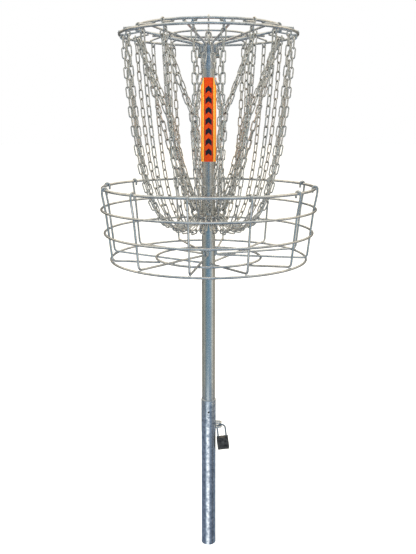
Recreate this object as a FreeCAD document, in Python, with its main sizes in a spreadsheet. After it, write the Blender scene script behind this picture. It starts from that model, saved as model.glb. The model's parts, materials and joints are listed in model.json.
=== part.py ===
"""Disc golf basket, in millimetres.

+Z is up and the origin is on the pole's axis at ground level. The front is -Y. An azimuth
is measured round the pole from the front, positive towards +X. A meridional plane is the
upright plane through the pole's axis at one azimuth: shapes drawn in it use x for the
distance from the axis and z for the height.
"""
import FreeCAD, Part
import Sketcher
import math
import os

Vector = FreeCAD.Vector
ORIGIN = Vector(0, 0, 0)
UP = Vector(0, 0, 1)

DRIVING_DIMENSIONS = {
    # Ground anchor, pole and lock collar
    "anchor_length": 403,
    "anchor_top": 50,
    "anchor_outer": 46.4,
    "anchor_inner": 42.4,
    "anchor_head_height": 24,
    "collar_outer": 47.2,
    "pole_outer": 42.2,
    "pole_inner": 37.0,
    "pole_foot": -330,
    "pole_top": 1258,
    "cap_flange": 3,
    "cap_depth": 22,
    "collar_height": 83,
    "set_screw_height": 97,
    "set_screw_diameter": 6,
    "set_screw_hole": 6.1,
    "set_screw_length": 5,
    "lug_wire": 5.5,
    "lug_radius": 7.5,
    "lug_reach": 40.5,
    "anchor_lug_height": 40.5,
    "collar_lug_height": 54.5,
    # Orange sleeve
    "label_bottom": 903,
    "label_top": 1161,
    "label_outer": 48,
    "label_inner": 42.2,
    # Basket
    "rim_radius": 330.5,
    "rim_height": 822.5,
    "rim_wire": 8.5,
    "upper_ring_radius": 334,
    "upper_ring_height": 757,
    "lower_ring_radius": 324.6,
    "lower_ring_height": 683.5,
    "bottom_ring_radius": 305.8,
    "bottom_ring_height": 600.8,
    "floor_ring_radius": 165,
    "ring_wire": 7,
    "basket_wire": 6.5,
    "basket_wire_count": 12,
    "first_wire_azimuth": -9.7,
    "rim_hook_drop": 13,
    "floor_bend": 14,
    "foot_bend": 8,
    "foot_rise": 13,
    # Chain holder
    "sleeve_outer": 48.3,
    "sleeve_bottom": 1188,
    "sleeve_top": 1264,
    "hoop_radius": 272.5,
    "hoop_height": 1290,
    "hoop_wire": 8.5,
    "top_ring_radius": 219.5,
    "top_ring_height": 1312,
    "inner_ring_radius": 120,
    "inner_ring_wire": 6,
    "arm_wire": 7,
    "arm_foot": 1238,
    "arm_bend": 12,
    "arm_count": 10,
    "tie_wire": 6,
    "eye_wire": 5,
    "eye_radius": 7,
    "eye_reach": 262,
    "bolt_height": 1229,
    "bolt_diameter": 8,
    "bolt_hole": 8.4,
    "bolt_head_width": 13,
    "bolt_head_height": 5.3,
    "nut_height": 6.8,
    "washer_outer": 16,
    "washer_thickness": 1.6,
    # Chains
    "outer_chain_count": 20,
    "inner_chain_count": 10,
    "link_wire": 4,
    "link_width": 16,
    "link_pitch": 29.6,
    "link_slack": 0.5,
    "outer_chain_links": 24,
    "upper_leg_links": 8,
    "lower_leg_links": 10,
    "leg_offset": 3.1,
    "upper_leg_sag": 0.0001,
    "lower_leg_sag": 0.003,
    "crossing_radius": 147.5,
    "crossing_height": 1039,
    "crossing_tilt": 19,
    "connector_wire": 5,
    "connector_inner_width": 13,
    "connector_inner_length": 28,
    "ring_connector_tilt": 28,
    "collector_radius": 39,
    "collector_height": 730,
    "collector_wire": 6,
    "hook_wire": 4.5,
    "hook_gap": 0.3,
    "hook_pull": 18,
    # Padlock
    "shackle_wire": 5.5,
    "shackle_radius": 13,
    "shackle_gap": 0.4,
    "shackle_leg": 28,
    "shackle_long_leg": 58,
    "shackle_short_leg": 37,
    "shackle_fit": 0.08,
    "lock_tilt": 6.5,
    "lock_width": 38,
    "lock_height": 40,
    "lock_depth": 20,
    "lock_rounding": 2.5,
    "key_plug_diameter": 12,
    "key_plug_length": 18,
    "key_slot_length": 8,
    "key_slot_width": 1.8,
}

# The lower inner chains leave their connector in close pairs, so their links turn a little.
LOWER_LEG_TWISTS = (0, 25, 20, 20, 15, 10)

doc = FreeCAD.newDocument("disc_golf_basket")
sheet = doc.addObject("Spreadsheet::Sheet", "sizes")
for row, (alias, amount) in enumerate(DRIVING_DIMENSIONS.items(), start=1):
    sheet.set(f"A{row}", alias)
    sheet.set(f"B{row}", str(amount))
    sheet.setAlias(f"B{row}", alias)
doc.recompute()

parts = []


def size(alias):
    """The number in one cell of the driving dimensions."""
    return float(sheet.get(alias))


def keep(thing):
    """Add a finished sub-part to those that are written out."""
    parts.append(thing)
    return thing


def bind(thing, **expressions):
    """Tie an object's properties to the driving dimensions."""
    for name, expression in expressions.items():
        thing.setExpression(name.replace("__", "."), expression)


def outward(azimuth):
    """The level unit vector that points away from the pole at an azimuth in degrees."""
    angle = math.radians(azimuth)
    return Vector(math.sin(angle), -math.cos(angle), 0)


def sideways(azimuth):
    """The level unit vector along a ring at an azimuth in degrees."""
    angle = math.radians(azimuth)
    return Vector(math.cos(angle), math.sin(angle), 0)


def at_azimuth(shape, azimuth):
    """A copy of a shape that was drawn in the XZ plane, turned to an azimuth."""
    turned = shape.copy()
    turned.rotate(ORIGIN, UP, azimuth - 90)
    return turned


# ---------------------------------------------------------------- sketches and tubes

def new_sketch(body, label, plane_role):
    """A sketch attached to one of its own body's origin planes."""
    sketch = body.newObject("Sketcher::SketchObject", label)
    plane = next(item for item in body.Origin.OriginFeatures if item.Role == plane_role)
    sketch.AttachmentSupport = [(plane, "")]
    sketch.MapMode = "FlatFace"
    return sketch


def bound_circle(sketch, name, diameter, centre_height=None):
    """A circle whose diameter, and height above the sketch's x axis, come from the sheet."""
    start = Vector(0, 1, 0) if centre_height else ORIGIN
    circle = sketch.addGeometry(Part.Circle(start, UP, 10), False)
    index = sketch.addConstraint(Sketcher.Constraint("Diameter", circle, 20))
    sketch.renameConstraint(index, name)
    sketch.setExpression(f"Constraints.{name}", diameter)
    if centre_height is None:
        sketch.addConstraint(Sketcher.Constraint("Coincident", circle, 3, -1, 1))
        return
    sketch.addConstraint(Sketcher.Constraint("PointOnObject", circle, 3, -2))
    index = sketch.addConstraint(Sketcher.Constraint("DistanceY", -1, 1, circle, 3, 10))
    sketch.renameConstraint(index, f"{name}_height")
    sketch.setExpression(f"Constraints.{name}_height", centre_height)


def tube_body(label, outer, inner, length, bottom):
    """A round tube: an annular sketch padded upwards from its bottom end."""
    body = doc.addObject("PartDesign::Body", label)
    section = new_sketch(body, f"{label}_section", "XY_Plane")
    bound_circle(section, "outer", outer)
    bound_circle(section, "inner", inner)
    pad = body.newObject("PartDesign::Pad", f"{label}_wall")
    pad.Profile = section
    bind(pad, Length=length)
    bind(body, Placement__Base__z=bottom)
    return body


def thicken(body, label, outer, inner, start, length):
    """A wider stretch of a tube, from a height above its own bottom end."""
    section = new_sketch(body, f"{label}_section", "XY_Plane")
    bind(section, AttachmentOffset__Base__z=start)
    bound_circle(section, "outer", outer)
    bound_circle(section, "inner", inner)
    pad = body.newObject("PartDesign::Pad", label)
    pad.Profile = section
    bind(pad, Length=length)


def cross_hole(body, label, plane_role, diameter, height, both_walls):
    """A round hole across a tube's axis, through both walls or through the front one."""
    doc.recompute()
    before = body.Shape.Volume
    section = new_sketch(body, f"{label}_section", plane_role)
    bound_circle(section, "hole", diameter, height)
    pocket = body.newObject("PartDesign::Pocket", label)
    pocket.Profile = section
    pocket.Type = "ThroughAll"
    if both_walls:
        pocket.SideType = "Symmetric"
    else:
        pocket.Reversed = True
    doc.recompute()
    if body.Shape.Volume >= before:
        raise RuntimeError(f"{label} cut nothing")


# ---------------------------------------------------------------- rods, rings and links

def ring(label, radius, wire, height):
    """A closed ring of round wire, level and centred on the pole."""
    torus = doc.addObject("Part::Torus", label)
    bind(torus, Radius1=radius, Radius2=f"{wire} / 2", Placement__Base__z=height)
    return keep(torus)


def bent_path(points, bends):
    """Straight runs between points, with each corner rounded to its bend radius."""
    edges = []
    run_start = points[0]
    for before, corner, after, bend in zip(points, points[1:], points[2:], bends):
        arriving = (corner - before).normalize()
        leaving = (after - corner).normalize()
        turn = arriving.getAngle(leaving)
        trim = bend * math.tan(turn / 2)
        arc_start = corner - arriving * trim
        arc_end = corner + leaving * trim
        inward = (leaving - arriving).normalize()
        arc_middle = corner + inward * (bend / math.cos(turn / 2) - bend)
        edges.append(Part.LineSegment(run_start, arc_start).toShape())
        edges.append(Part.Arc(arc_start, arc_middle, arc_end).toShape())
        run_start = arc_end
    edges.append(Part.LineSegment(run_start, points[-1]).toShape())
    return edges


def arc_edge(centre, radius, first, last):
    """An arc in the XZ plane; angles are in degrees from +x towards +z."""
    def spot(angle):
        turned = math.radians(angle)
        return centre + Vector(math.cos(turned), 0, math.sin(turned)) * radius
    return Part.Arc(spot(first), spot((first + last) / 2), spot(last)).toShape()


def rod(edges, diameter):
    """Round wire bent along a path."""
    path = Part.Wire(edges)
    start = edges[0].valueAt(edges[0].FirstParameter)
    heading = edges[0].tangentAt(edges[0].FirstParameter)
    section = Part.Wire([Part.makeCircle(diameter / 2, start, heading)])
    solid = path.makePipeShell([section], True, False)
    expected = path.Length * math.pi * diameter ** 2 / 4
    if abs(solid.Volume - expected) > expected / 100:
        raise RuntimeError("a rod came out with the wrong volume")
    return solid


def oval_link(inner_length, inner_width, wire):
    """One closed chain link, its length along x and its width along y."""
    bend = (inner_width + wire) / 2
    straight = (inner_length - inner_width) / 2
    corners = [Vector(-straight, bend, 0), Vector(straight, bend, 0)]
    corners += [Vector(straight, -bend, 0), Vector(-straight, -bend, 0)]
    right_end = Part.Arc(corners[1], Vector(straight + bend, 0, 0), corners[2])
    left_end = Part.Arc(corners[3], Vector(-straight - bend, 0, 0), corners[0])
    edges = [Part.LineSegment(corners[0], corners[1]).toShape(), right_end.toShape()]
    edges += [Part.LineSegment(corners[2], corners[3]).toShape(), left_end.toShape()]
    return rod(edges, wire)


def shape_part(label, shapes):
    """A sub-part whose shape is made directly: one solid, or a group of separate ones."""
    feature = doc.addObject("Part::Feature", label)
    feature.Shape = shapes[0] if len(shapes) == 1 else Part.makeCompound(shapes)
    feature.Placement = FreeCAD.Placement()
    return keep(feature)


def azimuths(count, first):
    """Evenly spaced azimuths round the pole."""
    return [first + 360 * index / count for index in range(count)]


# ---------------------------------------------------------------- anchor, pole, collar

def half_link_lug(label, height):
    """A half link of round wire, welded by its two ends to the side of a tube at +X."""
    bend = size("lug_radius")
    reach = size("lug_reach") - bend
    root = size("collar_outer") / 2 - 1
    level = size(height)
    start = Vector(root, -bend, level)
    turn_start = Vector(reach, -bend, level)
    turn_end = Vector(reach, bend, level)
    tip = Vector(reach + bend, 0, level)
    edges = [Part.LineSegment(start, turn_start).toShape()]
    edges.append(Part.Arc(turn_start, tip, turn_end).toShape())
    edges.append(Part.LineSegment(turn_end, Vector(root, bend, level)).toShape())
    wire = rod(edges, size("lug_wire"))
    tube = Part.makeCylinder(size("collar_outer") / 2, 40, Vector(0, 0, level - 20), UP)
    return shape_part(label, [wire.cut(tube)])


def make_anchor():
    """The ground tube, whose head is a little thicker, and its lug."""
    foot = "sizes.anchor_top - sizes.anchor_length"
    tube = tube_body("anchor_tube", "sizes.anchor_outer", "sizes.anchor_inner",
                     "sizes.anchor_length", foot)
    thicken(tube, "anchor_head", "sizes.collar_outer", "sizes.anchor_outer - 1",
            "sizes.anchor_length - sizes.anchor_head_height", "sizes.anchor_head_height")
    keep(tube)
    half_link_lug("anchor_lug", "anchor_lug_height")


def make_pole():
    """The pole, drilled for the chain holder's bolt and for the collar's set screw."""
    pole = tube_body("pole", "sizes.pole_outer", "sizes.pole_inner",
                     "sizes.pole_top - sizes.pole_foot", "sizes.pole_foot")
    cross_hole(pole, "pole_bolt_hole", "YZ_Plane", "sizes.bolt_hole",
               "sizes.bolt_height - sizes.pole_foot", True)
    cross_hole(pole, "pole_screw_hole", "XZ_Plane", "sizes.set_screw_hole",
               "sizes.set_screw_height - sizes.pole_foot", False)
    keep(pole)


def make_pole_cap():
    """A plastic plug in the pole's top, with a flange that covers the tube's end."""
    plug = doc.addObject("Part::Cylinder", "pole_cap_plug")
    bind(plug, Radius="sizes.pole_inner / 2", Height="sizes.cap_depth",
         Placement__Base__z="sizes.pole_top - sizes.cap_depth")
    flange = doc.addObject("Part::Cylinder", "pole_cap_flange")
    bind(flange, Radius="sizes.pole_outer / 2", Height="sizes.cap_flange",
         Placement__Base__z="sizes.pole_top")
    hollow = doc.addObject("Part::Cylinder", "pole_cap_hollow")
    bind(hollow, Radius="sizes.pole_inner / 2 - 2", Height="sizes.cap_depth - 2",
         Placement__Base__z="sizes.pole_top - sizes.cap_depth")
    joined = doc.addObject("Part::Fuse", "pole_cap_joined")
    joined.Base = plug
    joined.Tool = flange
    cap = doc.addObject("Part::Cut", "pole_cap")
    cap.Base = joined
    cap.Tool = hollow
    keep(cap)


def make_lock_collar():
    """The collar that is welded to the pole and stands on the anchor's rim."""
    collar = tube_body("lock_collar", "sizes.collar_outer", "sizes.pole_outer",
                       "sizes.collar_height", "sizes.anchor_top")
    cross_hole(collar, "collar_screw_hole", "XZ_Plane", "sizes.set_screw_hole",
               "sizes.set_screw_height - sizes.anchor_top", False)
    keep(collar)
    half_link_lug("collar_lug", "collar_lug_height")


def make_set_screw():
    """A socket set screw that runs through the collar's front wall into the pole's."""
    radius = size("set_screw_diameter") / 2
    front = outward(0)
    face = front * (size("collar_outer") / 2 - 0.6) + UP * size("set_screw_height")
    screw = Part.makeCylinder(radius, size("set_screw_length"), face, -front)
    socket_floor = face - front * 2.5
    corners = []
    for turn in [math.radians(60 * step) for step in range(6)]:
        across = sideways(0) * math.cos(turn) + UP * math.sin(turn)
        corners.append(socket_floor + across * (radius * 0.55))
    socket = Part.Face(Part.makePolygon(corners + corners[:1])).extrude(front * 4)
    shape_part("collar_set_screw", [screw.cut(socket)])


def make_label_band():
    """The plastic sleeve on the pole between the chains."""
    band = tube_body("label_band", "sizes.label_outer", "sizes.label_inner",
                     "sizes.label_top - sizes.label_bottom", "sizes.label_bottom")
    keep(band)


# ---------------------------------------------------------------- basket

def basket_wire(inner_points, inner_bends):
    """One upright: hooked over the rim, down inside the rings, then along the floor."""
    reach = (size("rim_wire") + size("basket_wire")) / 2
    inset = (size("ring_wire") + size("basket_wire")) / 2
    rim = Vector(size("rim_radius"), 0, size("rim_height"))
    hook_end = rim + Vector(-reach, 0, -size("rim_hook_drop"))
    edges = [Part.LineSegment(hook_end, rim + Vector(-reach, 0, 0)).toShape()]
    edges.append(arc_edge(rim, reach, 180, 0))
    outside = rim + Vector(reach, 0, 0)
    below_rim = outside - UP * size("rim_hook_drop")
    upper = Vector(size("upper_ring_radius") - inset, 0, size("upper_ring_height"))
    lower = Vector(size("lower_ring_radius") - inset, 0, size("lower_ring_height"))
    floor_level = size("bottom_ring_height") + inset
    slope = (upper.x - lower.x) / (upper.z - lower.z)
    heel = Vector(lower.x - slope * (lower.z - floor_level), 0, floor_level)
    points = [outside, below_rim, upper, heel] + inner_points
    bends = [60, 150, size("floor_bend")] + inner_bends
    edges += bent_path(points, bends)
    return rod(edges, size("basket_wire"))


def make_basket():
    """Five rings, and twelve bent wires of three kinds that repeat round the pole."""
    ring("basket_rim", "sizes.rim_radius", "sizes.rim_wire", "sizes.rim_height")
    ring("basket_upper_ring", "sizes.upper_ring_radius", "sizes.ring_wire",
         "sizes.upper_ring_height")
    ring("basket_lower_ring", "sizes.lower_ring_radius", "sizes.ring_wire",
         "sizes.lower_ring_height")
    ring("basket_bottom_ring", "sizes.bottom_ring_radius", "sizes.ring_wire",
         "sizes.bottom_ring_height")
    ring("basket_floor_ring", "sizes.floor_ring_radius", "sizes.ring_wire",
         "sizes.bottom_ring_height")

    wire = size("basket_wire")
    stack = (size("ring_wire") + wire) / 2
    over_rings = size("bottom_ring_height") + stack
    under_floor_ring = size("bottom_ring_height") - stack - 0.1
    pole_side = (size("pole_outer") + wire) / 2
    bottom_ring = Vector(size("bottom_ring_radius"), 0, over_rings)
    floor_ring = Vector(size("floor_ring_radius"), 0, under_floor_ring)
    fall = (bottom_ring - floor_ring).normalize()

    foot = Vector(pole_side, 0, over_rings)
    floor_wire = basket_wire([foot, foot + UP * size("foot_rise")], [size("foot_bend")])
    strut_end = bottom_ring - fall * ((bottom_ring.x - size("pole_outer") / 2 + 3) / fall.x)
    strut_wire = basket_wire([bottom_ring + Vector(-12, 0, 0), strut_end], [30])
    pole = Part.makeCylinder(size("pole_outer") / 2, 200, Vector(0, 0, 500), UP)
    strut_wire = strut_wire.cut(pole)
    short_end = floor_ring - fall * 5
    short_wire = basket_wire([bottom_ring + Vector(-12, 0, 0), short_end], [30])

    step = 360 / size("basket_wire_count")
    first = size("first_wire_azimuth")
    kinds = {
        "basket_floor_wires": (floor_wire, [0, 4, 8, 3, 7, 11]),
        "basket_strut_wires": (strut_wire, [1, 5, 9]),
        "basket_short_wires": (short_wire, [2, 6, 10]),
    }
    for label, (shape, places) in kinds.items():
        shape_part(label, [at_azimuth(shape, first + step * place) for place in places])


# ---------------------------------------------------------------- chain holder

def make_holder_sleeve():
    """The sleeve over the pole's top, drilled for the cross bolt."""
    sleeve = tube_body("holder_sleeve", "sizes.sleeve_outer", "sizes.pole_outer",
                       "sizes.sleeve_top - sizes.sleeve_bottom", "sizes.sleeve_bottom")
    cross_hole(sleeve, "sleeve_bolt_hole", "YZ_Plane", "sizes.bolt_hole",
               "sizes.bolt_height - sizes.sleeve_bottom", True)
    keep(sleeve)


def make_holder_arms():
    """Bent rods from the sleeve's side up to the underside of the top ring."""
    wire = size("arm_wire")
    root = (size("sleeve_outer") + wire) / 2
    end_level = size("top_ring_height") - (size("hoop_wire") + wire) / 2
    foot = Vector(root, 0, size("arm_foot"))
    bend = Vector(root, 0, size("sleeve_top") - 2)
    seat = Vector(size("top_ring_radius") - 12, 0, end_level)
    tip = Vector(size("top_ring_radius") + 5, 0, end_level)
    arm = rod(bent_path([foot, bend, seat, tip], [size("arm_bend"), 25]), wire)
    places = azimuths(int(size("arm_count")), 180 / size("arm_count"))
    shape_part("holder_arms", [at_azimuth(arm, place) for place in places])
    slope = (seat.z - bend.z) / (seat.x - bend.x)
    ring_level = bend.z + slope * (size("inner_ring_radius") - bend.x)
    rise = (wire + size("inner_ring_wire")) / 2 * math.hypot(1, slope)
    sheet.set("D1", str(round(ring_level + rise, 3)))
    sheet.setAlias("D1", "inner_ring_height")


def make_holder_rings():
    """The outer hoop, the top ring above it and the inner ring on the arms."""
    ring("outer_hoop", "sizes.hoop_radius", "sizes.hoop_wire", "sizes.hoop_height")
    ring("top_ring", "sizes.top_ring_radius", "sizes.hoop_wire", "sizes.top_ring_height")
    ring("inner_ring", "sizes.inner_ring_radius", "sizes.inner_ring_wire",
         "sizes.inner_ring_height")


def eye_centre():
    """The middle of a chain eye: low inside the hoop and touching it."""
    touch = size("eye_radius") + (size("eye_wire") + size("hoop_wire")) / 2 + 0.03
    across = size("hoop_radius") - size("eye_reach")
    drop = math.sqrt(touch ** 2 - across ** 2)
    return Vector(size("eye_reach"), 0, size("hoop_height") - drop)


def make_tie_bars():
    """Short rods from the top ring out to the hoop, one above each outer chain."""
    grip = (size("hoop_wire") + size("tie_wire")) / 2
    high = Vector(size("top_ring_radius"), 0, size("top_ring_height"))
    low = Vector(size("hoop_radius"), 0, size("hoop_height"))
    run = (low - high).normalize()
    above = Vector(-run.z, 0, run.x)
    bar = rod([Part.LineSegment(high - above * grip, low + above * grip).toShape()],
              size("tie_wire"))
    shape_part("tie_bars", [at_azimuth(bar, place) for place in outer_chain_azimuths()])


def make_chain_eyes():
    """Closed eyes of round wire, each upright and in line with the pole."""
    eye = Part.makeTorus(size("eye_radius"), size("eye_wire") / 2, eye_centre(), Vector(0, 1, 0))
    shape_part("chain_eyes", [at_azimuth(eye, place) for place in outer_chain_azimuths()])


def hexagon(width, thickness, start):
    """A hexagonal prism along x."""
    radius = width / math.sqrt(3)
    corners = [start + Vector(0, math.cos(turn), math.sin(turn)) * radius
               for turn in [math.radians(60 * step + 30) for step in range(6)]]
    return Part.Face(Part.makePolygon(corners + corners[:1])).extrude(Vector(thickness, 0, 0))


def make_cross_bolt():
    """The bolt through the sleeve and the pole, with a washer at each end and a nut."""
    along = Vector(1, 0, 0)
    side = size("sleeve_outer") / 2
    washer = size("washer_thickness")
    flat = math.sqrt(side ** 2 - (size("washer_outer") / 2) ** 2)
    radius = size("bolt_diameter") / 2
    level = Vector(0, 0, size("bolt_height"))
    seat = side + washer
    length = 2 * seat + size("nut_height") + 2
    shank = Part.makeCylinder(radius, length, level - along * seat, along)
    head = hexagon(size("bolt_head_width"), size("bolt_head_height"),
                   level - along * (seat + size("bolt_head_height")))
    shape_part("cross_bolt", [shank.fuse(head).removeSplitter()])
    nut = hexagon(size("bolt_head_width"), size("nut_height"), level + along * seat)
    bore = Part.makeCylinder(radius, 30, level + along * (seat - 5), along)
    shape_part("cross_bolt_nut", [nut.cut(bore)])
    sleeve = Part.makeCylinder(side, 60, Vector(0, 0, size("bolt_height") - 30), UP)
    washers = []
    for end in (-1, 1):
        disc = Part.makeCylinder(size("washer_outer") / 2, seat - flat,
                                 level + along * flat * end, along * end)
        hole = Part.makeCylinder(radius, 20, level + along * (flat - 2) * end, along * end)
        washers.append(disc.cut(hole).cut(sleeve))
    shape_part("cross_bolt_washers", washers)


# ---------------------------------------------------------------- chains

def link_solid():
    """The common chain link: its slack lets each link swing on the next."""
    inner_length = size("link_pitch") + size("link_slack")
    inner_width = size("link_width") - 2 * size("link_wire")
    return oval_link(inner_length, inner_width, size("link_wire"))


def end_reach(wire):
    """How far an end link's joint lies beyond the middle of the wire it hangs on."""
    return wire / 2 + size("link_slack") / 2


def slope_sums(base, step, count, pitch):
    """The level and upright extent of a hanging chain from its links' even slope steps."""
    slopes = [base + step * (index + 0.5) for index in range(count)]
    level = sum(pitch / math.hypot(1, slope) for slope in slopes)
    upright = sum(pitch * slope / math.hypot(1, slope) for slope in slopes)
    return level, upright


def bisect(low, high, too_low):
    """The value between two bounds at which a test changes from true to false."""
    for _ in range(60):
        middle = (low + high) / 2
        if too_low(middle):
            low = middle
        else:
            high = middle
    return (low + high) / 2


def hanging_joints(upper, lower, count, pitch):
    """The joints between the rigid links of a chain that hangs between two points.

    Under its own weight each link's slope differs from the next by the same step, so two
    numbers, the lowest link's slope and the step, give the whole curve.
    """
    span = math.hypot(upper.x - lower.x, upper.y - lower.y)
    rise = upper.z - lower.z

    def base_for(step):
        return bisect(-400, 400, lambda base: slope_sums(base, step, count, pitch)[1] < rise)

    def reaches_past(step):
        return slope_sums(base_for(step), step, count, pitch)[0] > span

    step = bisect(1e-4, 20, reaches_past)
    base = base_for(step)
    heading = Vector(upper.x - lower.x, upper.y - lower.y, 0).normalize()
    joints = [lower]
    for index in range(count):
        slope = base + step * (index + 0.5)
        length = math.hypot(1, slope)
        joints.append(joints[-1] + (heading + UP * slope) * (pitch / length))
    return joints[::-1]


def hang_between(top_wire, top_reach, bottom_wire, bottom_reach, count):
    """Joints of a chain from one wire to another, with its end links passed round them."""
    pitch = size("link_pitch")
    upper, lower = top_wire, bottom_wire
    for _ in range(6):
        joints = hanging_joints(upper, lower, count, pitch)
        first = (joints[1] - joints[0]).normalize()
        last = (joints[-1] - joints[-2]).normalize()
        upper = top_wire + first * top_reach
        lower = bottom_wire + last * bottom_reach
    return hanging_joints(upper, lower, count, pitch)


def place_link(link, middle, along, across):
    """A copy of a link with its length along one vector and its width along another."""
    normal = along.cross(across).normalize()
    across = normal.cross(along)
    copy = link.copy()
    copy.Placement = FreeCAD.Placement(middle, FreeCAD.Rotation(along, across, normal, "XYZ"))
    return copy


def link_middles(joints, headings, first_flat):
    """The middles of a strand's links, each seated in the round end of the one before.

    Where a strand bends, the joint slides round the end of the link that lies in the
    plane of the bend. The small error that builds up is shared out along the strand.
    """
    pitch = (joints[1] - joints[0]).Length
    inner_width = size("link_width") - 2 * size("link_wire")
    to_centre = (size("link_pitch") + size("link_slack") - inner_width) / 2
    to_end = to_centre + (inner_width + size("link_wire")) / 2
    middles = [joints[0] + headings[0] * pitch / 2]
    for index, (before, after) in enumerate(zip(headings, headings[1:])):
        flat = (index % 2 == 0) == first_flat
        first_part, last_part = (to_end, to_centre) if flat else (to_centre, to_end)
        between = (before + after).normalize() * (pitch - to_centre - to_end)
        middles.append(middles[-1] + before * first_part + between + after * last_part)
    error = joints[-1] - headings[-1] * pitch / 2 - middles[-1]
    share = error / (len(middles) - 1)
    return [middle + share * index for index, middle in enumerate(middles)]


def strand(link, joints, first_flat, twists=()):
    """Links along a line of joints, each a quarter turn from the last.

    first_flat is true where the first link's width lies along the rings, and false where
    it lies in the meridional plane. twists adds a further turn in degrees to the first
    links, about the strand.
    """
    headings = [(end - start).normalize() for start, end in zip(joints, joints[1:])]
    middles = link_middles(joints, headings, first_flat)
    links = []
    for index, (middle, along) in enumerate(zip(middles, headings)):
        flat = sideways(math.degrees(math.atan2(middle.x, -middle.y)))
        across = flat if (index % 2 == 0) == first_flat else along.cross(flat)
        if index < len(twists):
            across = FreeCAD.Rotation(along, twists[index]).multVec(across)
        links.append(place_link(link, middle, along, across))
    return links


def turned_joints(joints, azimuth):
    """Joints turned about the pole."""
    turn = FreeCAD.Rotation(UP, azimuth)
    return [turn.multVec(joint) for joint in joints]


def outer_chain_azimuths():
    """The outer chains stand half a step either side of the front."""
    count = int(size("outer_chain_count"))
    return azimuths(count, 180 / count)


def make_outer_chains(link):
    """Each outer chain hangs from an eye, bows down and comes in to the collector ring."""
    eye_wire = eye_centre() - UP * size("eye_radius")
    collector = Vector(size("collector_radius"), 0, size("collector_height"))
    joints = hang_between(outward(0) * eye_wire.x + UP * eye_wire.z,
                          -end_reach(size("eye_wire")),
                          outward(0) * collector.x + UP * collector.z,
                          end_reach(size("collector_wire")),
                          int(size("outer_chain_links")))
    for number, azimuth in enumerate(outer_chain_azimuths(), start=1):
        links = strand(link, turned_joints(joints, azimuth), True)
        shape_part(f"outer_chain_{number:02d}", links)
    return joints


def side_joint_depth(wire):
    """How deep a pair of end links, side by side, sits in a round end of wider wire.

    The answer is measured from the centre of the round end to the joint of an end link.
    """
    bend = (size("connector_inner_width") + size("connector_wire")) / 2
    if wire == size("hook_wire"):
        bend = (size("connector_inner_width") + wire) / 2
    clear = bend - (wire + size("link_wire")) / 2 - 0.4
    depth = math.sqrt(clear ** 2 - size("leg_offset") ** 2)
    return depth + (size("link_wire") + size("link_slack")) / 2


def connector_solid():
    """The larger link at a crossing or at the collector ring."""
    return oval_link(size("connector_inner_length"), size("connector_inner_width"),
                     size("connector_wire"))


def connector_joint():
    """How far from a connector's middle the end links of a leg join it."""
    straight = (size("connector_inner_length") - size("connector_inner_width")) / 2
    return straight + side_joint_depth(size("connector_wire"))


def leg_joints(upper, lower, count, sag):
    """Joints of a short leg, drawn nearly straight by what hangs from it."""
    pitch = (upper - lower).Length * (1 + sag) / count
    return hanging_joints(upper, lower, count, pitch)


def pushed_apart(joints, direction):
    """Joints of a leg that its neighbour holds off where the two leave one connector."""
    pushes = [0] + [1.5 * math.exp((1 - index) / 2.2) for index in range(1, len(joints) - 1)]
    return [joint + direction * push for joint, push in zip(joints, pushes + [0])]


def mirrored(point, side):
    """The point itself, or for side -1 its mirror image across the front's upright plane."""
    return Vector(point.x * side, point.y, point.z)


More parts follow.
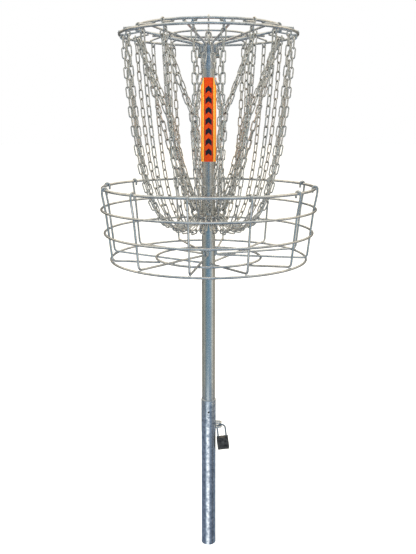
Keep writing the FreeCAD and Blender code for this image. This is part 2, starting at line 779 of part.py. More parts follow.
def make_inner_chains(link):
    """Ten crossed pairs: two legs down from neighbouring hooks meet at a connector, and
    two go on from it to neighbouring connectors on the collector ring."""
    count = int(size("inner_chain_count"))
    half_step = 180 / count
    offset = size("leg_offset")
    tilt = math.radians(size("crossing_tilt"))
    crossing = outward(half_step) * size("crossing_radius") + UP * size("crossing_height")
    crossing_line = outward(half_step) * -math.sin(tilt) - UP * math.cos(tilt)
    beside = sideways(half_step) * offset
    top_joint = crossing - crossing_line * connector_joint() - beside
    bottom_joint = crossing + crossing_line * connector_joint() - beside

    collector = outward(0) * size("collector_radius") + UP * size("collector_height")
    ring_tilt = math.radians(size("ring_connector_tilt"))
    ring_line = outward(0) * math.sin(ring_tilt) + UP * math.cos(ring_tilt)
    ring_across = outward(0) * math.cos(ring_tilt) - UP * math.sin(ring_tilt)
    half_length = (size("connector_inner_length") + size("connector_wire")) / 2
    grip = (size("collector_wire") + size("connector_wire")) / 2 + size("link_slack")
    ring_middle = collector + ring_line * (half_length - grip)
    ring_joint = ring_middle + ring_line * connector_joint()

    upper_count = int(size("upper_leg_links"))
    lower_count = int(size("lower_leg_links"))
    pull = math.radians(size("hook_pull"))
    hook_line = outward(0) * -math.sin(pull) - UP * math.cos(pull)
    hook_across = outward(0) * math.cos(pull) - UP * math.sin(pull)
    below_loop = hook_line * side_joint_depth(size("hook_wire"))
    hook_joint = outward(0) * (size("top_ring_radius") + hook_shift()) + below_loop
    level_gap = math.hypot(hook_joint.x - top_joint.x, hook_joint.y - top_joint.y)
    reach = upper_count * size("link_pitch") * 0.9995
    hook_joint.z = top_joint.z + math.sqrt(reach ** 2 - level_gap ** 2)

    for name, side in (("left", -1), ("right", 1)):
        upper_legs = []
        lower_legs = []
        start = hook_joint + hook_across * offset * side
        end = ring_joint + ring_across * offset * side
        upper = leg_joints(start, mirrored(top_joint, side), upper_count,
                           size("upper_leg_sag"))
        lower = leg_joints(mirrored(bottom_joint, side), end, lower_count,
                           size("lower_leg_sag"))
        lower = pushed_apart(lower, sideways(half_step * side) * -side)
        for azimuth in azimuths(count, 0):
            upper_legs += strand(link, turned_joints(upper, azimuth), True)
            lower_legs += strand(link, turned_joints(lower, azimuth), False,
                                 LOWER_LEG_TWISTS)
        shape_part(f"inner_upper_chains_{name}", upper_legs)
        shape_part(f"inner_lower_chains_{name}", lower_legs)

    connector = connector_solid()
    at_crossing = place_link(connector, crossing, crossing_line, sideways(half_step))
    at_ring = place_link(connector, ring_middle, ring_line, ring_across)
    connectors = []
    for azimuth in azimuths(count, 0):
        for shape in (at_crossing, at_ring):
            turned = shape.copy()
            turned.rotate(ORIGIN, UP, azimuth)
            connectors.append(turned)
    shape_part("chain_connectors", connectors)
    make_hooks(hook_joint.z - below_loop.z)


def hook_shift():
    """How far a hook's lower loop stands out from the ring that its upper loop holds."""
    return lower_hook_bend() - upper_hook_bend()


def upper_hook_bend():
    """The bend radius of the loop round the top ring."""
    return (size("hoop_wire") + size("hook_wire")) / 2 + size("hook_gap")


def lower_hook_bend():
    """The bend radius of the loop that carries two legs."""
    return (size("connector_inner_width") + size("hook_wire")) / 2


def make_hooks(loop_level):
    """Long open hooks on the top ring, each carrying one leg of two crossed pairs."""
    top = Vector(size("top_ring_radius"), 0, size("top_ring_height"))
    bottom = Vector(top.x + hook_shift(), 0, loop_level)
    shank_top = top - Vector(upper_hook_bend(), 0, 0)
    shank_bottom = bottom - Vector(lower_hook_bend(), 0, 0)
    edges = [arc_edge(top, upper_hook_bend(), -50, 180)]
    edges.append(Part.LineSegment(shank_top, shank_bottom).toShape())
    edges.append(arc_edge(bottom, lower_hook_bend(), 180, 400))
    hook = rod(edges, size("hook_wire"))
    places = azimuths(int(size("inner_chain_count")), 0)
    shape_part("inner_chain_hooks", [at_azimuth(hook, place) for place in places])


# ---------------------------------------------------------------- padlock

def lock_placement():
    """The padlock's own frame: its origin is the middle of the shackle's bow, -Z runs
    along the legs, and the whole leans outwards about the lug that it hangs on."""
    wire_gap = (size("lug_wire") + size("shackle_wire")) / 2 + size("shackle_gap")
    pivot = Vector(size("lug_reach"), 0, size("anchor_lug_height"))
    lean = FreeCAD.Rotation(Vector(0, 1, 0), -size("lock_tilt"))
    hang = lean.multVec(Vector(0, 0, wire_gap - size("shackle_radius")))
    return FreeCAD.Placement(pivot + hang, lean)


def make_shackle():
    """The shackle: its long leg is on the tube's side and stays in the body."""
    radius = size("shackle_radius")
    long_end = Vector(-radius, 0, -size("shackle_long_leg"))
    short_end = Vector(radius, 0, -size("shackle_short_leg"))
    edges = [Part.LineSegment(long_end, Vector(-radius, 0, 0)).toShape()]
    edges.append(arc_edge(ORIGIN, radius, 180, 0))
    edges.append(Part.LineSegment(Vector(radius, 0, 0), short_end).toShape())
    shackle = shape_part("padlock_shackle", [rod(edges, size("shackle_wire"))])
    shackle.Placement = lock_placement()


def make_lock_body():
    """The padlock's case, bored for the shackle's legs and for the key plug."""
    case = doc.addObject("Part::Box", "padlock_case_block")
    bind(case, Length="sizes.lock_width", Width="sizes.lock_depth", Height="sizes.lock_height",
         Placement__Base__x="-sizes.lock_width / 2", Placement__Base__y="-sizes.lock_depth / 2",
         Placement__Base__z="-sizes.shackle_leg - sizes.lock_height")
    rounded = doc.addObject("Part::Fillet", "padlock_case")
    rounded.Base = case
    doc.recompute()
    rounding = size("lock_rounding")
    rounded.Edges = [(index + 1, rounding, rounding) for index in range(len(case.Shape.Edges))]
    bores = []
    bore_radius = "sizes.shackle_wire / 2 + sizes.shackle_fit"
    for label, side, leg in (("long", "-", "long"), ("short", "", "short")):
        bore = doc.addObject("Part::Cylinder", f"padlock_{label}_bore")
        bind(bore, Radius=bore_radius, Placement__Base__x=f"{side}sizes.shackle_radius",
             Height=f"sizes.shackle_{leg}_leg + 0.5 - sizes.shackle_leg + 1",
             Placement__Base__z=f"-sizes.shackle_{leg}_leg - 0.5")
        bores.append(bore)
    plug_bore = doc.addObject("Part::Cylinder", "padlock_plug_bore")
    bind(plug_bore, Radius="sizes.key_plug_diameter / 2 + sizes.shackle_fit",
         Height="sizes.key_plug_length + 1.5",
         Placement__Base__z="-sizes.shackle_leg - sizes.lock_height - 1")
    bores.append(plug_bore)
    tools = doc.addObject("Part::MultiFuse", "padlock_bores")
    tools.Shapes = bores
    body = doc.addObject("Part::Cut", "padlock_body")
    body.Base = rounded
    body.Tool = tools
    body.Placement = lock_placement()
    keep(body)


def make_key_plug():
    """The turning core, with a key slot in its lower face."""
    floor = -size("shackle_leg") - size("lock_height")
    radius = size("key_plug_diameter") / 2
    core = Part.makeCylinder(radius, size("key_plug_length"), Vector(0, 0, floor), UP)
    length = size("key_slot_length")
    width = size("key_slot_width")
    slot = Part.makeBox(length, width, 12, Vector(-length / 2, -width / 2, floor - 1))
    plug = shape_part("padlock_key_plug", [core.cut(slot)])
    plug.Placement = lock_placement()


# ---------------------------------------------------------------- build and write

make_anchor()
make_pole()
make_pole_cap()
make_lock_collar()
make_set_screw()
make_label_band()
make_basket()
make_holder_sleeve()
make_holder_arms()
doc.recompute()
make_holder_rings()
make_tie_bars()
make_chain_eyes()
make_cross_bolt()
chain_link = link_solid()
make_outer_chains(chain_link)
make_inner_chains(chain_link)
ring("collector_ring", "sizes.collector_radius", "sizes.collector_wire",
     "sizes.collector_height")
make_shackle()
make_lock_body()
make_key_plug()
doc.recompute()

for thing in doc.Objects:
    if "Invalid" in thing.State or "Error" in thing.State:
        raise RuntimeError(f"{thing.Label} failed: {thing.State}")
for part in parts:
    if part.Shape.isNull() or not part.Shape.isValid():
        raise RuntimeError(f"{part.Label} has no valid shape")

os.makedirs("parts", exist_ok=True)
for part in parts:
    part.Shape.exportStep(f"parts/{part.Label}.step")
print(len(parts), "sub-parts written")
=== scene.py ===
"""Looks for the disc golf basket: finishes, weld beads, studio and camera."""

import json
import math

import bpy
import bmesh
import numpy as np
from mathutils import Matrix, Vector, noise


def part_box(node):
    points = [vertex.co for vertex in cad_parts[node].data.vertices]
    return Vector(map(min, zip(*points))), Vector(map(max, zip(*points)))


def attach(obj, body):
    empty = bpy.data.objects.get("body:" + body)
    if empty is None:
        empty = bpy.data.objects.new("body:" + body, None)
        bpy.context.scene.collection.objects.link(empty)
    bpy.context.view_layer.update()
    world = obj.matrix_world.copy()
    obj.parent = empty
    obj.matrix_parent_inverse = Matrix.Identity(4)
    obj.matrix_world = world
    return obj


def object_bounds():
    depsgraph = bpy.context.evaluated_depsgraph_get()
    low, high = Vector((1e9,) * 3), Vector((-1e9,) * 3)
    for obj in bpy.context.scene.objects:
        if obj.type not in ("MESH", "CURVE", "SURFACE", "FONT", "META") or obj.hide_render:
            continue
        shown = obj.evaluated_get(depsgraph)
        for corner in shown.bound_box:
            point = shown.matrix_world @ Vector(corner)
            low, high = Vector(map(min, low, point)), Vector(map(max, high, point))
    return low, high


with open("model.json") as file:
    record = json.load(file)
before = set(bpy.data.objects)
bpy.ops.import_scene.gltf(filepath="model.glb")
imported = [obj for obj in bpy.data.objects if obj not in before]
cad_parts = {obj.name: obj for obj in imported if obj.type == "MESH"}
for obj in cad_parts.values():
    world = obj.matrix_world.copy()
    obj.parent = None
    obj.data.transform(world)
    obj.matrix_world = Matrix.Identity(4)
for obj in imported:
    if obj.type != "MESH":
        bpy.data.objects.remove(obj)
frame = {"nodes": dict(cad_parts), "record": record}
cad_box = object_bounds()

UP = Vector((0, 0, 1))
CHAIN_LINKS = 24

# Azimuths round the pole, in degrees.
BASKET_WIRES = [-9.7 + 30 * place for place in range(12)]
EYES = [9 + 18 * place for place in range(20)]
ARMS = [18 + 36 * place for place in range(10)]

# Which of the basket's wires run level to the pole, and which slope down to it.
FLOOR_WIRES = (0, 3, 4, 7, 8, 11)
STRUT_WIRES = (1, 5, 9)

# Where the weld beads lie: a radius and a height, in millimetres.
RIM_OUTSIDE = (334.9, 822.5)
RIM_TOP = (330.5, 826.6)
UPPER_RING = (330.6, 757.0)
LOWER_RING = (321.2, 683.5)
BOTTOM_RING = (305.8, 604.2)
FLOOR_RING_TOP = (165, 604.2)
FLOOR_RING_UNDERSIDE = (165, 597.2)
FLOOR_WIRE_FOOT = (21.9, 611.5)
FLOOR_WIRE_END = (23.0, 620.4)
STRUT_FOOT = (22.0, 580.4)
ARM_LEG_RADIUS = 24.6
ARM_LEG_HEIGHTS = (1241, 1248, 1255)
ARM_LEG_END = (25.4, 1237.6)
ARM_HEAD = (219.5, 1307.8)
TIE_BAR_INNER_END = (217.9, 1308.1)
TIE_BAR_OUTER_END = (274.1, 1293.9)
EYE_ON_HOOP = (269.3, 1287.2)
INNER_RING_RADIUS = 120
ANCHOR_LUG_HEIGHT = 40.5
COLLAR_LUG_HEIGHT = 54.5
LUG_FOOT_RADIUS = 23.8
LUG_FOOT_SIDE = 6.9

# From a rod's centre line to the bead beside it, in metres.
BESIDE_ROD = 0.0032
BESIDE_WIRE = 0.0030
BESIDE_RIM_STUB = 0.0034
BESIDE_TIE_BAR = 0.0027
ABOVE_LUG_FOOT = 0.0022

# The sleeve's print, with painted highlight in its side stripes, in metres: across it from the
# middle, and its height.
STRIPE_FROM = 0.0142
STRIPE_TO = 0.0178
CHEVRON_HALF_WIDTH = 0.0098
CHEVRON_STEP = 0.032
CHEVRON_MIDDLE = 1.032
CHEVRON_REACH = 0.110


def outward(azimuth):
    """The level unit vector away from the pole; azimuth 0 is the front."""
    angle = math.radians(azimuth)
    return Vector((math.sin(angle), -math.cos(angle), 0))


def sideways(azimuth):
    """The level unit vector along a ring."""
    angle = math.radians(azimuth)
    return Vector((math.cos(angle), math.sin(angle), 0))


# ---------------------------------------------------------------- node helpers

class Nodes:
    """A short way to write a node tree."""

    def __init__(self, tree):
        self.tree = tree
        self.tree.nodes.clear()

    def add(self, kind, **inputs):
        """A node with its inputs set by name; an underscore stands for a space."""
        node = self.tree.nodes.new(kind)
        for name, amount in inputs.items():
            self.put(node, name.replace("_", " "), amount)
        return node

    def put(self, node, name, amount):
        """Links a socket to an input, or sets the input to a constant."""
        socket = node.inputs[int(name)] if name.isdigit() else node.inputs[name]
        if isinstance(amount, bpy.types.NodeSocket):
            self.tree.links.new(amount, socket)
        else:
            socket.default_value = amount

    def math(self, operation, *terms, clamp=False):
        node = self.tree.nodes.new("ShaderNodeMath")
        node.operation = operation
        node.use_clamp = clamp
        for index, term in enumerate(terms):
            self.put(node, str(index), term)
        return node.outputs[0]

    def spread(self, amount, low, high, to_low=0.0, to_high=1.0):
        """Maps low..high onto to_low..to_high, and stops at the ends."""
        node = self.tree.nodes.new("ShaderNodeMapRange")
        for index, term in enumerate((amount, low, high, to_low, to_high)):
            self.put(node, str(index), term)
        return node.outputs[0]

    def mix(self, share, first, second, blend="MIX"):
        node = self.tree.nodes.new("ShaderNodeMix")
        node.data_type = "RGBA"
        node.blend_type = blend
        for index, term in ((0, share), (6, first), (7, second)):
            self.put(node, str(index), term)
        return node.outputs[2]

    def noise(self, where, scale, detail=3.0, roughness=0.5, distortion=0.0):
        node = self.add("ShaderNodeTexNoise", Vector=where, Scale=scale, Detail=detail,
                        Roughness=roughness, Distortion=distortion)
        return node.outputs[0]

    def cells(self, where, scale):
        """A value that is constant within each crystal."""
        node = self.add("ShaderNodeTexVoronoi", Vector=where, Scale=scale)
        return self.split(node.outputs["Color"])[0]

    def split(self, vector):
        node = self.add("ShaderNodeSeparateXYZ", Vector=vector)
        return node.outputs

    def stretched(self, where, x, y, z):
        node = self.tree.nodes.new("ShaderNodeMapping")
        self.put(node, "Vector", where)
        node.inputs["Scale"].default_value = (x, y, z)
        return node.outputs[0]

    def ramp(self, amount, stops):
        node = self.add("ShaderNodeValToRGB", Fac=amount)
        ramp = node.color_ramp
        while len(ramp.elements) < len(stops):
            ramp.elements.new(0.5)
        for element, (place, color) in zip(ramp.elements, stops):
            element.position = place
            element.color = (*color, 1)
        return node.outputs[0]

    def bump(self, height, strength, distance, under=None):
        node = self.add("ShaderNodeBump", Height=height, Strength=strength, Distance=distance)
        if under is not None:
            self.put(node, "Normal", under)
        return node.outputs[0]


def rgb(red, green, blue):
    """An opaque colour."""
    return (red, green, blue, 1)


def new_material(name):
    """A material with a bare shader, and the object's own coordinates to build on."""
    material = bpy.data.materials.new(name)
    material.use_nodes = True
    nodes = Nodes(material.node_tree)
    output = nodes.add("ShaderNodeOutputMaterial")
    shader = nodes.add("ShaderNodeBsdfPrincipled")
    nodes.put(output, "Surface", shader.outputs[0])
    where = nodes.add("ShaderNodeTexCoord").outputs["Object"]
    return material, nodes, shader, where


# ---------------------------------------------------------------- finishes

def galvanised(name, bright, dull, rough, crystal, mottle, grain=0.25):
    """Zinc with crystals, cloudy dull patches and fine pitting."""
    material, nodes, shader, where = new_material(name)
    crystals = nodes.cells(where, crystal)
    cloud = nodes.noise(where, mottle, 5.0, 0.6, 0.4)
    patches = nodes.spread(cloud, 0.35, 0.68)
    tone = nodes.math("ADD", nodes.math("MULTIPLY", crystals, 0.35),
                      nodes.math("MULTIPLY", patches, 0.65))
    colour = nodes.mix(tone, rgb(*bright), rgb(*dull))
    nodes.put(shader, "Base Color", colour)
    shader.inputs["Metallic"].default_value = 0.92
    fine = nodes.noise(where, 900.0, 2.0)
    level = nodes.math("ADD", nodes.math("MULTIPLY", tone, 0.16),
                       nodes.math("MULTIPLY", fine, 0.04))
    nodes.put(shader, "Roughness", nodes.math("ADD", level, rough - 0.1))
    lumps = nodes.noise(where, 160.0, 3.0)
    normal = nodes.bump(lumps, 0.4 * grain, 0.0006)
    nodes.put(shader, "Normal", nodes.bump(fine, grain, 0.0002, normal))
    return material


def chain_finish():
    """Plated links: each a little lighter or darker, stained, and with painted shade where links
    meet.
    """
    material, nodes, shader, where = new_material("chain_zinc")
    island = nodes.add("ShaderNodeNewGeometry").outputs["Random Per Island"]
    stain = nodes.spread(nodes.noise(where, 140.0, 4.0, 0.65), 0.42, 0.66)
    colour = nodes.mix(island, rgb(0.97, 0.93, 0.85), rgb(0.66, 0.66, 0.64))
    colour = nodes.mix(nodes.math("MULTIPLY", stain, 0.5), colour, rgb(0.26, 0.24, 0.21))
    shader.inputs["Metallic"].default_value = 0.9
    # Painted shade: ambient occlusion darkens the base colour to near black where links meet and
    # lie close together.
    shade = nodes.add("ShaderNodeAmbientOcclusion", Distance=0.005)
    shade.samples = 4
    painted_link_shade = nodes.spread(shade.outputs["AO"], 0.25, 0.85, 0.85, 0.0)
    colour = nodes.mix(painted_link_shade, colour, rgb(0.035, 0.032, 0.030))
    nodes.put(shader, "Base Color", colour)
    rough = nodes.math("ADD", nodes.math("MULTIPLY", stain, 0.22), 0.14)
    nodes.put(shader, "Roughness", rough)
    fine = nodes.noise(where, 1100.0, 2.0)
    nodes.put(shader, "Normal", nodes.bump(fine, 0.2, 0.0002))
    return material


def orange_sleeve():
    """Orange plastic with a lighter stripe and edge each side, partly print and partly painted
    highlight, and a plain column of dark chevrons.
    """
    material, nodes, shader, where = new_material("orange_plastic")
    x, y, z = nodes.split(where)
    across = nodes.math("ABSOLUTE", x)
    cloud = nodes.noise(where, 30.0, 3.0)
    middle = nodes.mix(cloud, rgb(0.50, 0.036, 0.002), rgb(0.66, 0.068, 0.004))
    # Painted highlight: the lighter side stripes and brighter side edges are partly print and
    # partly painted highlight standing for side light.
    stripe_and_highlight = nodes.mix(cloud, rgb(0.86, 0.44, 0.06), rgb(0.92, 0.54, 0.11))
    edge = nodes.mix(cloud, rgb(0.88, 0.22, 0.010), rgb(0.96, 0.33, 0.02))
    colour = nodes.mix(nodes.spread(across, STRIPE_FROM, STRIPE_FROM + 0.0006), middle, stripe_and_highlight)
    colour = nodes.mix(nodes.spread(across, STRIPE_TO, STRIPE_TO + 0.0008), colour, edge)
    from_line = nodes.math("ABSOLUTE", nodes.math("SUBTRACT", across, STRIPE_FROM))
    line = nodes.math("LESS_THAN", from_line, 0.0006)
    colour = nodes.mix(line, colour, rgb(0.10, 0.02, 0.004))
    slant = nodes.math("ADD", z, nodes.math("MULTIPLY", across, 0.9))
    repeat = nodes.math("FRACT", nodes.math("MULTIPLY", slant, 1 / CHEVRON_STEP))
    bar = nodes.math("LESS_THAN", repeat, 0.52)
    inside = nodes.math("LESS_THAN", across, CHEVRON_HALF_WIDTH)
    from_middle = nodes.math("ABSOLUTE", nodes.math("SUBTRACT", z, CHEVRON_MIDDLE))
    reach = nodes.math("LESS_THAN", from_middle, CHEVRON_REACH)
    front = nodes.math("LESS_THAN", y, 0.0)
    dark = nodes.math("MULTIPLY", nodes.math("MULTIPLY", bar, inside),
                      nodes.math("MULTIPLY", reach, front))
    colour = nodes.mix(dark, colour, rgb(0.010, 0.012, 0.022))
    nodes.put(shader, "Base Color", colour)
    scuff = nodes.noise(nodes.stretched(where, 1.0, 1.0, 0.12), 420.0, 3.0)
    nodes.put(shader, "Roughness", nodes.spread(scuff, 0.3, 0.7, 0.22, 0.42))
    shader.inputs["Specular IOR Level"].default_value = 0.2
    shader.inputs["Coat Weight"].default_value = 0.1
    shader.inputs["Coat Roughness"].default_value = 0.12
    nodes.put(shader, "Normal", nodes.bump(scuff, 0.08, 0.0003))
    return material


def plain_finish(name, light, dark, metallic, rough, scale, bump=0.2):
    """A speckled finish for small parts."""
    material, nodes, shader, where = new_material(name)
    speckle = nodes.spread(nodes.noise(where, scale, 5.0, 0.65), 0.35, 0.7)
    nodes.put(shader, "Base Color", nodes.mix(speckle, rgb(*light), rgb(*dark)))
    shader.inputs["Metallic"].default_value = metallic
    nodes.put(shader, "Roughness", nodes.spread(speckle, 0.0, 1.0, rough, rough + 0.18))
    fine = nodes.noise(where, scale * 5, 2.0)
    nodes.put(shader, "Normal", nodes.bump(fine, bump, 0.0002))
    return material


finishes = {
    "galvanised_tube": galvanised("galvanised_tube", (0.80, 0.84, 0.88), (0.26, 0.31, 0.39),
                                  0.16, 150.0, 85.0, 0.10),
    "galvanised_pole": galvanised("galvanised_pole", (0.66, 0.67, 0.67), (0.50, 0.53, 0.55),
                                  0.15, 150.0, 14.0, 0.025),
    "galvanised_wire": galvanised("galvanised_wire", (0.82, 0.82, 0.81), (0.40, 0.43, 0.46),
                                  0.17, 200.0, 40.0, 0.08),
    "chain_zinc": chain_finish(),
    "weld_metal": galvanised("weld_metal", (0.66, 0.68, 0.70), (0.40, 0.43, 0.46),
                             0.34, 300.0, 60.0, 0.4),
    "zinc_bolt": plain_finish("zinc_bolt", (0.70, 0.68, 0.62), (0.42, 0.40, 0.36),
                              0.95, 0.28, 260.0),
    "black_steel": plain_finish("black_steel", (0.012, 0.012, 0.013), (0.003, 0.003, 0.003),
                                0.1, 0.60, 300.0),
    "black_plastic": plain_finish("black_plastic", (0.035, 0.035, 0.036), (0.018, 0.018, 0.018),
                                  0.0, 0.5, 200.0),
    "orange_plastic": orange_sleeve(),
    "lock_body": plain_finish("lock_body", (0.066, 0.067, 0.069), (0.008, 0.008, 0.009),
                              0.55, 0.30, 120.0, 0.35),
    "lock_shackle": plain_finish("lock_shackle", (0.42, 0.47, 0.52), (0.16, 0.19, 0.23),
                                 0.95, 0.24, 220.0),
    "brass_plug": plain_finish("brass_plug", (0.46, 0.33, 0.12), (0.20, 0.13, 0.05),
                               1.0, 0.35, 300.0),
}

slots = {part["node"]: part["material_slot"] for part in frame["record"]["subparts"]}
for node, obj in frame["nodes"].items():
    obj.data.materials.clear()
    obj.data.materials.append(finishes[slots[node]])


# ---------------------------------------------------------------- weld beads

def at(azimuth, radius, height):
    """A point from its azimuth in degrees and its radius and height in millimetres."""
    return (outward(azimuth) * radius + UP * height) / 1000


def lump(form, centre, along, size, length, fineness=3):
    """One uneven bead of weld metal; size is its half width and length its half length, in mm."""
    made = bmesh.ops.create_icosphere(form, subdivisions=fineness, radius=1.0)
    turn = along.to_track_quat("X", "Z").to_matrix()
    for vertex in made["verts"]:
        point = vertex.co.copy()
        rough = noise.noise(point * 1.7 + centre * 900) * 0.35
        fine = noise.noise(point * 5.0 + centre * 300) * 0.10
        ripple = 0.06 * math.sin(point.x * 14)
        point *= 1 + rough + fine + ripple
        point.x *= length
        point.yz *= size
        vertex.co = centre + turn @ (point / 1000)


def bead_round(form, radius, height, thickness, ripples, ragged):
    """A weld run all the way round a tube, with stacked ripples and an uneven edge."""
    steps, section = ripples * 4, 10
    rows = []
    for step in range(steps):
        azimuth = 360 * step / steps
        drift = noise.noise(outward(azimuth) * 3 + UP * height) * ragged
        swell = 1 + 0.16 * math.cos(math.tau * step / 4)
        swell += noise.noise(outward(azimuth) * 9 + UP * height) * 0.4
        row = []
        for corner in range(section):
            angle = math.tau * corner / section
            away = radius + thickness * swell * math.cos(angle) * 0.8
            high = height + drift + thickness * swell * math.sin(angle)
            row.append(form.verts.new(at(azimuth, away, high)))
        rows.append(row)
    for step in range(steps):
        first, second = rows[step], rows[(step + 1) % steps]
        for corner in range(section):
            after = (corner + 1) % section
            form.faces.new((first[corner], first[after], second[after], second[corner]))


def finish_piece(name, form, body, finish):
    """Turns a form into a smooth piece that rides on a body."""
    mesh = bpy.data.meshes.new(name)
    bmesh.ops.recalc_face_normals(form, faces=form.faces)
    form.to_mesh(mesh)
    form.free()
    for face in mesh.polygons:
        face.use_smooth = True
    mesh.materials.append(finishes[finish])
    piece = bpy.data.objects.new(name, mesh)
    bpy.context.scene.collection.objects.link(piece)
    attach(piece, body)


def basket_welds():
    """Beads where each basket wire crosses the rings and meets the pole."""
    form = bmesh.new()
    for place, azimuth in enumerate(BASKET_WIRES):
        level = sideways(azimuth)
        for side in (-1, 1):
            beside = level * side * BESIDE_ROD
            lump(form, at(azimuth, *RIM_OUTSIDE) + beside, UP, 1.5, 4.0)
            lump(form, at(azimuth, *UPPER_RING) + beside, UP, 1.5, 3.2)
            lump(form, at(azimuth, *LOWER_RING) + beside, UP, 1.5, 3.2)
            lump(form, at(azimuth, *BOTTOM_RING) + beside, outward(azimuth), 1.5, 3.2)
        stub = level * BESIDE_RIM_STUB
        lump(form, at(azimuth, *RIM_TOP) + stub, outward(azimuth), 1.4, 3.6)
        crossing = FLOOR_RING_TOP if place in FLOOR_WIRES else FLOOR_RING_UNDERSIDE
        lump(form, at(azimuth, *crossing) + level * BESIDE_WIRE, outward(azimuth), 1.5, 3.2)
        if place in FLOOR_WIRES:
            for side in (-1, 1):
                beside = level * side * BESIDE_WIRE
                lump(form, at(azimuth, *FLOOR_WIRE_FOOT) + beside, UP, 1.9, 7.5)
            lump(form, at(azimuth, *FLOOR_WIRE_END), level, 1.7, 3.2)
        if place in STRUT_WIRES:
            for side in (-1, 1):
                beside = level * side * BESIDE_WIRE
                lump(form, at(azimuth, *STRUT_FOOT) + beside, UP, 1.8, 3.6)
    finish_piece("basket_weld_beads", form, "pole_assembly", "weld_metal")


def holder_welds():
    """Beads at the arms, rings, tie bars and chain eyes."""
    low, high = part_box("inner_ring")
    ring_underside = (low[2] + high[2]) / 2 * 1000 - 3.0
    form = bmesh.new()
    for azimuth in ARMS:
        level = sideways(azimuth)
        for side in (-1, 1):
            beside = level * side * BESIDE_ROD
            for height in ARM_LEG_HEIGHTS:
                lump(form, at(azimuth, ARM_LEG_RADIUS, height) + beside * 0.8, UP, 1.2, 4.2)
            lump(form, at(azimuth, *ARM_HEAD) + beside, outward(azimuth), 1.5, 3.4)
        lump(form, at(azimuth, *ARM_LEG_END), level, 1.2, 2.6)
        crossing = at(azimuth, INNER_RING_RADIUS, ring_underside)
        lump(form, crossing + level * BESIDE_WIRE, outward(azimuth), 1.4, 3.0)
    for azimuth in EYES:
        level = sideways(azimuth)
        for side in (-1, 1):
            beside = level * side * BESIDE_TIE_BAR
            lump(form, at(azimuth, *TIE_BAR_INNER_END) + beside, outward(azimuth), 1.4, 3.2)
            lump(form, at(azimuth, *TIE_BAR_OUTER_END) + beside, outward(azimuth), 1.4, 3.2)
            lump(form, at(azimuth, *EYE_ON_HOOP) + beside, outward(azimuth), 1.4, 2.8)
    finish_piece("holder_weld_beads", form, "pole_assembly", "weld_metal")


def lug_feet(form, height):
    """Beads above and below each foot of a lug."""
    for side in (-1, 1):
        foot = Vector((LUG_FOOT_RADIUS, side * LUG_FOOT_SIDE, height)) / 1000
        for way in (1, -1):
            lump(form, foot + UP * way * ABOVE_LUG_FOOT, sideways(90), 1.3, 3.2)


def tube_welds():
    """The run round the collar's top, and the feet of both lugs."""
    form = bmesh.new()
    bead_round(form, radius=21.9, height=133.3, thickness=1.9, ripples=30, ragged=1.3)
    lug_feet(form, COLLAR_LUG_HEIGHT)
    finish_piece("collar_weld_beads", form, "pole_assembly", "weld_metal")
    form = bmesh.new()
    lug_feet(form, ANCHOR_LUG_HEIGHT)
    finish_piece("anchor_weld_beads", form, "ground_anchor", "weld_metal")


def link_welds():
    """The small butt weld on one side of every outer chain's links."""
    for node, obj in frame["nodes"].items():
        if not node.startswith("outer_chain_"):
            continue
        number = node[-2:]
        points = np.empty(len(obj.data.vertices) * 3)
        obj.data.vertices.foreach_get("co", points)
        form = bmesh.new()
        for link in points.reshape(CHAIN_LINKS, -1, 3):
            middle = link.mean(axis=0)
            axes = np.linalg.svd(link - middle, full_matrices=False)[2]
            reach = np.abs((link - middle) @ axes.T).max(axis=0)
            side = Vector(middle + axes[1] * (reach[1] - reach[2]))
            lump(form, side, Vector(axes[1]), 2.25, 2.25, 2)
        finish_piece("link_welds_" + number, form, "chain_" + number, "chain_zinc")


basket_welds()
holder_welds()
tube_welds()
link_welds()


# ---------------------------------------------------------------- studio

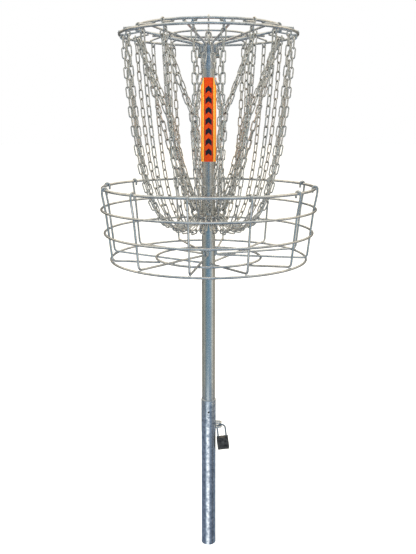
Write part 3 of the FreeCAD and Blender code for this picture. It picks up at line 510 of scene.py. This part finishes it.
def make_world():
    """Light from all round, in bands by height, each with its own tints by bearing."""
    world = bpy.data.worlds.new("studio")
    bpy.context.scene.world = world
    world.use_nodes = True
    nodes = Nodes(world.node_tree)
    heading = nodes.add("ShaderNodeTexCoord").outputs["Generated"]
    x, y, z = nodes.split(heading)
    turn = nodes.math("ARCTAN2", x, nodes.math("MULTIPLY", y, -1.0))
    place = nodes.spread(turn, -math.pi, math.pi)

    def band(stops):
        """One band's tints, from behind, round by the left, the front and the right."""
        return nodes.ramp(place, [((bearing + 180) / 360, tint) for bearing, tint in stops])

    level = band([(-180, (0.07, 0.07, 0.07)), (-122, (0.14, 0.14, 0.13)),
                  (-100, (0.58, 0.53, 0.43)), (-72, (0.46, 0.44, 0.37)),
                  (-42, (0.34, 0.37, 0.36)), (-28, (0.12, 0.22, 0.30)),
                  (0, (0.13, 0.26, 0.38)), (14, (0.22, 0.36, 0.48)),
                  (26, (0.50, 0.55, 0.58)), (42, (0.95, 0.88, 0.76)),
                  (58, (0.42, 0.38, 0.31)), (100, (0.66, 0.58, 0.45)),
                  (122, (0.14, 0.14, 0.13)), (180, (0.07, 0.07, 0.07))])
    upper = band([(-180, (1.05, 0.93, 0.74)), (-90, (1.00, 0.90, 0.73)),
                  (-50, (0.28, 0.38, 0.45)), (0, (0.15, 0.27, 0.37)),
                  (50, (0.34, 0.42, 0.47)), (90, (1.08, 0.97, 0.78)),
                  (180, (1.05, 0.93, 0.74))])
    low = band([(-180, (0.07, 0.07, 0.06)), (-128, (0.12, 0.12, 0.10)),
                (-98, (0.30, 0.30, 0.24)), (-72, (0.42, 0.42, 0.36)),
                (-53, (0.18, 0.24, 0.24)), (-30, (0.13, 0.26, 0.34)),
                (0, (0.13, 0.30, 0.42)), (15, (0.18, 0.34, 0.48)),
                (36, (0.28, 0.42, 0.52)), (60, (0.66, 0.68, 0.64)),
                (74, (0.86, 0.80, 0.68)), (90, (0.30, 0.26, 0.20)),
                (122, (0.48, 0.44, 0.36)), (180, (0.07, 0.07, 0.06))])
    deep = band([(-180, (0.14, 0.18, 0.24)), (-118, (0.24, 0.30, 0.38)),
                 (-94, (0.08, 0.12, 0.20)), (-62, (0.10, 0.15, 0.24)),
                 (-40, (0.34, 0.42, 0.52)), (-30, (1.25, 1.30, 1.34)),
                 (0, (1.50, 1.50, 1.48)), (14, (0.60, 0.66, 0.74)),
                 (27, (0.15, 0.21, 0.31)), (50, (0.07, 0.11, 0.18)),
                 (70, (0.03, 0.04, 0.07)), (92, (0.10, 0.15, 0.22)),
                 (124, (0.24, 0.30, 0.38)), (180, (0.14, 0.18, 0.24))])
    light = nodes.mix(nodes.spread(z, 0.10, 0.36), level, upper)
    light = nodes.mix(nodes.spread(z, 0.66, 0.84), light, rgb(1.12, 1.08, 0.98))
    light = nodes.mix(nodes.spread(z, -0.20, -0.12, 1.0, 0.0), light, low)
    light = nodes.mix(nodes.spread(z, -0.40, -0.375, 1.0, 0.0), light, deep)
    light = nodes.mix(nodes.spread(z, -0.72, -0.60, 1.0, 0.0), light, rgb(0.09, 0.12, 0.16))
    seen = nodes.add("ShaderNodeLightPath").outputs["Is Camera Ray"]
    colour = nodes.mix(seen, light, rgb(1.0, 1.0, 1.0))
    background = nodes.add("ShaderNodeBackground", Color=colour, Strength=1.0)
    nodes.put(nodes.add("ShaderNodeOutputWorld"), "Surface", background.outputs[0])


def make_floor():
    """A wide pale floor at the foot of the anchor."""
    mesh = bpy.data.meshes.new("floor")
    form = bmesh.new()
    bmesh.ops.create_circle(form, cap_ends=True, segments=128, radius=40.0)
    form.to_mesh(mesh)
    form.free()
    floor = bpy.data.objects.new("floor", mesh)
    floor.location.z = cad_box[0].z - 0.0005
    floor.visible_glossy = False
    bpy.context.scene.collection.objects.link(floor)
    material, nodes, shader, where = new_material("pale_floor")
    soft = nodes.noise(where, 3.0, 2.0)
    nodes.put(shader, "Base Color", nodes.mix(soft, rgb(0.93, 0.93, 0.93), rgb(0.96, 0.96, 0.955)))
    shader.inputs["Roughness"].default_value = 0.9
    shader.inputs["Specular IOR Level"].default_value = 0.1
    shader.inputs["Emission Color"].default_value = rgb(1.0, 1.0, 1.0)
    shader.inputs["Emission Strength"].default_value = 0.42
    mesh.materials.append(material)


def soft_light(name, place, target, size, power, colour):
    """An area light that neither the camera nor the metal's reflections show."""
    data = bpy.data.lights.new(name, "AREA")
    data.shape = "RECTANGLE"
    data.size, data.size_y = size
    data.energy = power
    data.color = colour
    light = bpy.data.objects.new(name, data)
    light.location = place
    aim = Vector(target) - Vector(place)
    light.rotation_euler = aim.to_track_quat("-Z", "Y").to_euler()
    light.visible_camera = False
    light.visible_glossy = False
    bpy.context.scene.collection.objects.link(light)


def make_camera():
    """From the front, a little above the basket's rim and tilted slightly down."""
    data = bpy.data.cameras.new("camera")
    data.sensor_width = 36.0
    data.lens = 44.5256
    data.shift_x = -0.00103
    data.shift_y = -0.15704
    camera = bpy.data.objects.new("camera", data)
    camera.location = (0.0, -2.143, 1.0247)
    camera.rotation_euler = (math.radians(90 - 5.65), 0, 0)
    bpy.context.scene.collection.objects.link(camera)
    bpy.context.scene.camera = camera


make_world()
make_floor()
soft_light("overhead", (-0.6, -0.8, 3.4), (0, 0, 0.6), (2.6, 2.6), 110, (1.0, 0.98, 0.95))
soft_light("front", (1.2, -3.4, 1.6), (0, 0, 0.9), (1.6, 1.6), 60, (1.0, 0.99, 0.97))
make_camera()
bpy.context.scene.view_settings.view_transform = "Standard"
